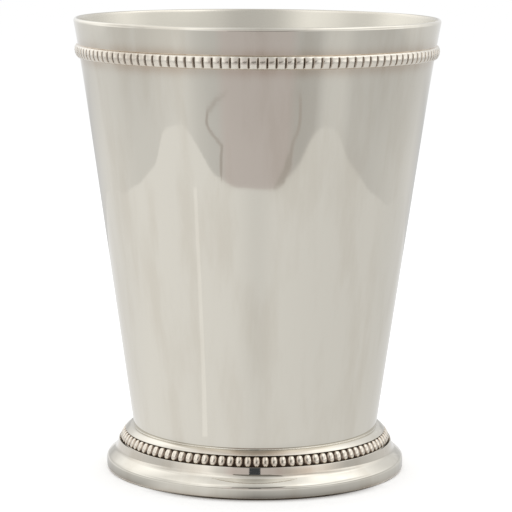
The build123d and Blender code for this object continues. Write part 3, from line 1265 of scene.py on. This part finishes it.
@dataclass(frozen=True)
class LightTent:
    """A cloth light tent round the cup, seen only in its reflections.

    Sizes in millimetres, angles in degrees. Rows on the floor are shares of the way out from the foot,
    rows on the wall are heights, and rows of the crown are shares of the rise above the wall.
    """

    columns: int = 720
    floor_rows: tuple[float, ...] = (
        0.0, 0.004, 0.01, 0.02, 0.03, 0.045, 0.06, 0.08, 0.1, 0.13, 0.17, 0.22, 0.35, 0.6, 1.0,
    )
    wall_rows: tuple[float, ...] = (
        0.3, 3.0, 6.0, 12.0, 20.0, 32.0, 45.0, 70.0, 100.0, 130.0, 160.0, 190.0, 215.0, 240.0, 270.0, 300.0,
    )
    crown_from: float = 0.1
    crown_to: float = 0.999
    crown_count: int = 10
    corner_softness: float = 3.0
    corner_samples: int = 9
    wall_height: float = 300.0
    crown_height: float = 420.0
    glow_heights: tuple[float, ...] = (0.0, 12.0, 45.0, 66.0, 170.0, 290.0, 380.0, 420.0)
    low_dip: float = 0.91
    crown_dip: float = 0.97
    crown_glow: float = 0.95
    tint: tuple[float, float, float] = (1.03, 0.965, 0.965)
    tint_half: float = 22.0
    tint_blend: float = 6.0
    tint_top: float = 150.0
    tint_fade: float = 60.0
    floor_glow: float = 1.0
    floor_fall: float = 0.085
    floor_back: float = -0.12
    floor_start: float = 36.0
    floor_lift: float = 0.15
    opening_shade: float = 0.085
    opening_shade_half: float = 10.0
    opening_shade_start: float = 40.0
    contact_shade: float = 0.5
    contact_round: tuple[tuple[float, float], ...] = (
        (-180.0, 0.3), (-52.0, 0.65), (-39.0, 0.2), (-20.0, 0.2), (0.0, 1.0), (19.0, 0.8), (48.0, 0.55),
        (60.0, 0.3), (180.0, 0.3),
    )
    contact_reach: float = 10.5
    edge_shade: float = 0.22
    edge_reach: float = 3.2
    edge_least: float = 0.3
    card_lean: float = 1.41
    card_foot: float = 38.0
    slit: tuple[tuple[float, float], ...] = ((-12.5, 46.0), (13.0, 46.0), (14.0, 60.0), (-13.5, 60.0))
    slit_gap: float = 8.0
    slit_colour: str = "#4A4E53"
    opening: tuple[tuple[float, float], ...] = (
        (-53.0, 58.0), (33.0, 58.0), (52.0, 79.0), (50.0, 106.0), (32.0, 97.0), (-11.0, 92.5), (-42.0, 77.4),
    )
    opening_gap: float = 4.0
    opening_colour: str = "#8C8A85"
    seam_colour: str = "#CBC6C3"
    seam_flatness: float = 6.5
    seam_end: float = 0.15
    seam_gap: float = 2.0
    seam_lift: float = 0.05

    @property
    def panels(self) -> np.ndarray:
        """The panels' turns, their distances and their four glows, one row each."""
        return np.array([panel.value for panel in TentPanel]).T

    def outline(self, azimuth: np.ndarray) -> np.ndarray:
        """Give the cloth's distance: straight between panels, then averaged so that corners are round."""
        spread = np.linspace(-1, 1, self.corner_samples)[:, None] * self.corner_softness
        turned = (azimuth + spread + 180) % 360 - 180
        return np.interp(turned, self.panels[0], self.panels[1]).mean(0)

    def cloth_glow(self, azimuth: np.ndarray, height: np.ndarray) -> np.ndarray:
        """Give the wall's glow: straight between panels, and up the wall straight between key heights.

        Args:
            azimuth: degrees from the front, to the right, one per column.
            height: height above the floor, one per row.

        Returns:
            Glow of each column and row.
        """
        turn, _, *glows = self.panels
        floor, low, middle, high = (np.interp(azimuth, turn, glow) for glow in glows)
        crown = np.full_like(high, self.crown_glow)
        levels = np.stack(
            [floor, floor, floor * self.low_dip, low, middle, high, high * self.crown_dip, crown], -1
        )
        keys = np.array(self.glow_heights)
        place = np.clip(np.searchsorted(keys, height, side="right") - 1, 0, len(keys) - 2)
        share = np.clip((height - keys[place]) / (keys[place + 1] - keys[place]), 0, 1)
        return levels[:, place] * (1 - share) + levels[:, place + 1] * share

    def sweep_glow(self, azimuth: np.ndarray, radius: np.ndarray) -> np.ndarray:
        """Give the floor's glow: it falls off to the right as a sine, falls behind the cup, dips as a bell
        out before the opening, and darkens where the foot touches down, most in front.

        Args:
            azimuth: degrees from the front, to the right, one per column.
            radius: distance from the axis for each column and row.

        Returns:
            Glow of each column and row.
        """
        turn = np.radians(azimuth)
        behind = self.floor_back * np.clip(-np.cos(turn), 0, 1)
        glow = self.floor_glow - self.floor_fall * np.sin(turn) + behind
        away = 1 - np.exp((self.floor_start - radius) / self.opening_shade_start)
        dip = self.opening_shade * near(azimuth, 0.0, self.opening_shade_half)[:, None] * away
        front = np.interp(azimuth, *np.array(self.contact_round).T)[:, None]
        shade = self.contact_shade * front * near(radius, self.floor_start, self.contact_reach, FLAT_TOP)
        edge = self.edge_shade * (self.edge_least + (1 - self.edge_least) * front)
        shade = shade + edge * near(radius, self.floor_start, self.edge_reach)
        return (glow[:, None] - dip) * (1 - shade)

    def cloth(self) -> Piece:
        """Build the tent as one cloth: out along the floor, up the wall and in to a crown.

        Columns stand at even azimuths a; a row is (r sin a, -r cos a, h), where r grows from the foot
        to the outline on the floor, stays on the wall, and shrinks as the side of an ellipse above it.
        The cloth in front is tinted low on the wall.
        """
        azimuth = np.linspace(-180, 180, self.columns, endpoint=False)
        reach = self.outline(azimuth)[:, None]
        out, rise = np.array(self.floor_rows), np.array(self.wall_rows)
        drawn = np.linspace(self.crown_from, self.crown_to, self.crown_count)
        on_floor = self.floor_start + (reach - self.floor_start) * out
        crown = self.wall_height + (self.crown_height - self.wall_height) * drawn
        radius = np.hstack([on_floor, reach * np.ones_like(rise), reach * np.sqrt(1 - drawn**2)])
        on_wall = np.concatenate([rise, crown])
        height = np.broadcast_to(np.concatenate([np.full_like(out, self.floor_lift), on_wall]), radius.shape)
        turn = np.radians(azimuth)[:, None]
        points = np.stack([radius * np.sin(turn), -radius * np.cos(turn), height], -1)
        glow = np.hstack([self.sweep_glow(azimuth, on_floor), self.cloth_glow(azimuth, on_wall)])
        before = np.clip((self.tint_half + self.tint_blend / 2 - np.abs(azimuth)) / self.tint_blend, 0, 1)
        low = np.concatenate([np.zeros(len(out)), np.clip((self.tint_top - on_wall) / self.tint_fade, 0, 1)])
        tint = 1 + before[:, None, None] * low[:, None] * (np.array(self.tint) - 1)
        colour = np.concatenate([glow[..., None] * tint, np.ones((*glow.shape, 1))], -1).reshape(-1, 4)
        quads = grid_quads(*radius.shape).reshape(*radius.shape, 4)[:, :-1].reshape(-1, 4)
        piece = new_mesh_object("tent_cloth", points.reshape(-1, 3), quads, {Mark.GLOW: colour})
        return lit(piece, "tent_cloth_lit", Mark.GLOW)

    def leaning_card(
        self, name: str, corners: tuple[tuple[float, float], ...], gap: float, colour: str
    ) -> Piece:
        """Build a card before the tent's front that leans in over the floor, the more the higher it is.

        Args:
            name: name of the card.
            corners: sideways place and height of each corner.
            gap: distance from the cloth.
            colour: glow of the card.

        Returns:
            The card.
        """
        side, height = np.array(corners).T
        depth = gap - self.outline(np.zeros(1)) + self.card_lean * (height - self.card_foot)
        card = new_mesh_object(name, np.stack([side, depth, height], -1), [list(range(len(corners)))])
        return lit(card, name + "_glow", colour)

    def seam(self, run: TentSeam) -> Piece:
        """Build a seam as a ribbon just before the cloth, its sides offset square to the run.

        Args:
            run: the seam's half width and points.

        Returns:
            The ribbon.
        """
        wide, run_points = run.value
        tall = wide / self.seam_flatness
        azimuth, height = np.array(run_points, float).T
        reach = self.outline(azimuth) - self.seam_gap
        way = np.gradient(np.stack([np.radians(azimuth) * reach / wide, height / tall], -1), axis=0)
        square = np.stack([-way[:, 1], way[:, 0]], -1) / np.linalg.norm(way, axis=1, keepdims=True)
        square[[0, -1]] *= self.seam_end
        sides = []
        for sign in (-1, 1):
            turn = np.radians(azimuth) + sign * square[:, 0] * wide / reach
            level = np.maximum(height + sign * square[:, 1] * tall, self.floor_lift + self.seam_lift)
            sides.append(np.stack([reach * np.sin(turn), -reach * np.cos(turn), level], -1))
        count = len(azimuth)
        at = np.arange(count - 1)
        faces = np.stack([at, at + 1, at + 1 + count, at + count], -1)
        name = "tent_seam_" + run.name.lower()
        return lit(new_mesh_object(name, np.vstack(sides), faces), name + "_glow", self.seam_colour)

    def build(self) -> list[Piece]:
        """Build the tent's cards and keep them out of sight but for reflections."""
        cards = [
            self.cloth(),
            self.leaning_card("tent_slit", self.slit, self.slit_gap, self.slit_colour),
            self.leaning_card("tent_opening", self.opening, self.opening_gap, self.opening_colour),
            *(self.seam(run) for run in TentSeam),
        ]
        for card in cards:
            mirrored_only(card)
        return cards


@dataclass(frozen=True)
class StudioFloor:
    """A plain white sweep under the cup, and a glowing strip along a crease, seen only in reflections: a
    painted highlight that the polished wall picks up.

    The floor darkens where the foot comes near it, but only in front. Sizes in millimetres, angles in
    degrees; openness is the share of the light from above that reaches a place.
    """

    half_size: float = 6000.0
    white: str = "#FFFFFF"
    kept_white: float = 0.08
    touch_reach: float = 4.0
    touch_shade: str = "#5E554B"
    touch_turn: float = 6.0
    touch_from: float = 23.0
    touch_full: float = 33.0
    touch_openness: tuple[float, float] = (0.9, 0.4)
    touch_samples: int = 16
    crease_from: tuple[float, float] = (-30.0, -43.0)
    crease_to: tuple[float, float] = (-142.0, -161.0)
    crease_width: float = 9.0
    crease_start: float = 0.4
    crease_lift: float = 0.3
    crease_glow: float = 1.16

    def sweep(self) -> Piece:
        """Build the floor: white by itself to camera and mirror, and lit, so that it keeps the shadow."""
        half = self.half_size
        points = np.array([[-half, -half, 0], [half, -half, 0], [half, half, 0], [-half, half, 0]])
        piece = new_mesh_object("studio_floor", points, [[0, 1, 2, 3]])
        material, tree, output = new_material("studio_floor_white")
        ray = add_node(tree, "LightPath").outputs
        seen = add_node(tree, "Math", {0: ray["Is Camera Ray"], 1: ray["Is Glossy Ray"]}, operation="ADD")
        rays = {0: seen.outputs[0], 1: ray["Is Transmission Ray"]}
        shown = add_node(tree, "Math", rays, operation="ADD", use_clamp=True).outputs[0]
        kept = add_node(tree, "Math", {0: shown, 1: self.kept_white}, operation="MULTIPLY").outputs[0]
        reach = {"Distance": self.touch_reach * MM}
        bare = add_node(tree, "AmbientOcclusion", reach, samples=self.touch_samples).outputs["AO"]
        start, full = self.touch_openness
        hidden = add_node(tree, "MapRange", {"Value": bare, "From Min": start, "From Max": full}).outputs[0]
        where = add_node(tree, "TexCoord").outputs["Object"]
        forward = (sin(radians(self.touch_turn)), -cos(radians(self.touch_turn)), 0.0)
        ahead = add_node(tree, "VectorMath", {0: where, 1: forward}, operation="DOT_PRODUCT").outputs["Value"]
        foremost = {"Value": ahead, "From Min": self.touch_from * MM, "From Max": self.touch_full * MM}
        front = add_node(tree, "MapRange", foremost).outputs[0]
        touch = add_node(tree, "Math", {0: hidden, 1: front}, operation="MULTIPLY").outputs[0]
        shaded = layered(tree, self.white, [(touch, self.touch_shade)])
        paper = add_node(tree, "BsdfDiffuse", {"Color": shaded}).outputs[0]
        own = add_node(tree, "Emission", {"Color": shaded, "Strength": 1.0}).outputs[0]
        shader = add_node(tree, "MixShader", {0: kept, 1: paper, 2: own})
        tree.links.new(shader.outputs[0], output.inputs["Surface"])
        piece.data.materials.append(material)
        return piece

    def crease(self) -> Piece:
        """Build the crease as a narrow glowing card just above the floor, wider with distance: a painted
        highlight seen only in reflections.
        """
        start, end = np.array(self.crease_from), np.array(self.crease_to)
        way = (end - start) / np.linalg.norm(end - start)
        side = np.array([-way[1], way[0]]) * self.crease_width / 2
        slim = self.crease_start * side
        corners = np.array([start - slim, end - side, end + side, start + slim])
        points = np.hstack([corners, np.full((len(corners), 1), self.crease_lift)])
        piece = new_mesh_object("floor_crease", points, [[0, 1, 2, 3]])
        return mirrored_only(lit(piece, "floor_crease_lit", self.white, self.crease_glow))

    def build(self) -> list[Piece]:
        """Build the floor and its crease."""
        made = [self.sweep(), self.crease()]
        return made


@dataclass(frozen=True)
class StudioLight:
    """White surroundings and one soft box overhead. Sizes in millimetres."""

    white: str = "#FFFFFF"
    box_size: float = 420.0
    box_height: float = 500.0
    box_back: float = 60.0
    box_glow: float = 2.2

    def build(self) -> None:
        """Set the world and the lamp; a lamp of area A glows with L when its power is pi A L."""
        world = bpy.data.worlds.new("studio_white")
        bpy.context.scene.world = world
        world.use_nodes = True
        tree = world.node_tree
        tree.nodes.clear()
        white = add_node(tree, "Background", {"Color": linear(self.white), "Strength": 1.0})
        tree.links.new(white.outputs[0], add_node(tree, "OutputWorld").inputs["Surface"])
        lamp = bpy.data.lights.new("soft_box", "AREA")
        lamp.shape = "SQUARE"
        lamp.size = self.box_size * MM
        lamp.energy = pi * lamp.size**2 * self.box_glow
        holder = bpy.data.objects.new("soft_box", lamp)
        holder.location = (0, self.box_back * MM, self.box_height * MM)
        holder.visible_glossy = False
        bpy.context.scene.collection.objects.link(holder)


@dataclass(frozen=True)
class PhotoCamera:
    """The camera at the photograph's place. Sizes in millimetres, angles in degrees."""

    distance: float = 571.27
    height: float = 137.42
    pitch: float = 8.6007
    roll: float = 0.35
    lens: float = 169.34
    sensor: float = 36.0
    nearest: float = 10.0
    farthest: float = 50000.0

    def build(self) -> None:
        """Create the camera and make it the scene's own."""
        data = bpy.data.cameras.new("photo_camera")
        data.lens = self.lens
        data.sensor_width = self.sensor
        data.sensor_fit = "HORIZONTAL"
        data.clip_start = self.nearest * MM
        data.clip_end = self.farthest * MM
        camera = bpy.data.objects.new("photo_camera", data)
        tipped = Euler((radians(90 - self.pitch), 0, 0)).to_matrix()
        camera.rotation_euler = (tipped @ Matrix.Rotation(radians(self.roll), 3, "Z")).to_euler()
        camera.location = (0, -self.distance * MM, self.height * MM)
        bpy.context.scene.collection.objects.link(camera)
        bpy.context.scene.camera = camera


def main() -> None:
    """Build the cup's sub-assemblies in order, then the stage, the light and the camera."""
    logging.basicConfig(level=logging.INFO, format="%(name)s: %(message)s")
    bpy.context.scene.view_settings.view_transform = "Standard"
    plate = SilverPlate().material()
    clean_solder = SilverSolder(
        "silver_solder_wiped_clean",
        clean="#CDC9BF",
        brown="#C8C2B7",
        blotch_size=5.0,
        pit_size=1.6,
        pit_depth=0.0015,
    ).material()
    brown_solder = SilverSolder("silver_solder_tarnished", clean="#BDAE9B", brown="#A08B74").material()
    rim_silver = OxidisedSilver(
        "rim_beads_oxidised", silver="#D5CFC4", warm="#B4A899", sulphide="#968D82", polish=0.17
    ).material()
    foot_silver = OxidisedSilver(
        "foot_beads_oxidised", silver="#D9D1C4", warm="#A0907F", sulphide="#3C3129"
    ).material()
    outline = WallOutline()
    foot = Foot(outline)
    made = [
        *CupBody(outline).build(plate, clean_solder),
        *Lip(outline).build(plate),
        *RimBeads(outline.band_seat()).build(rim_silver),
        *RimSolder(outline).build(brown_solder),
        *foot.build(plate, clean_solder),
        *FootBeads(foot.band_seat()).build(foot_silver),
    ]
    for piece in made:
        LOG.info("%s: %d faces", piece.name, len(piece.data.polygons))
    for card in (*LightTent().build(), *StudioFloor().build()):
        LOG.info("%s: stage", card.name)
    StudioLight().build()
    PhotoCamera().build()


if __name__ == "__main__":
    main()
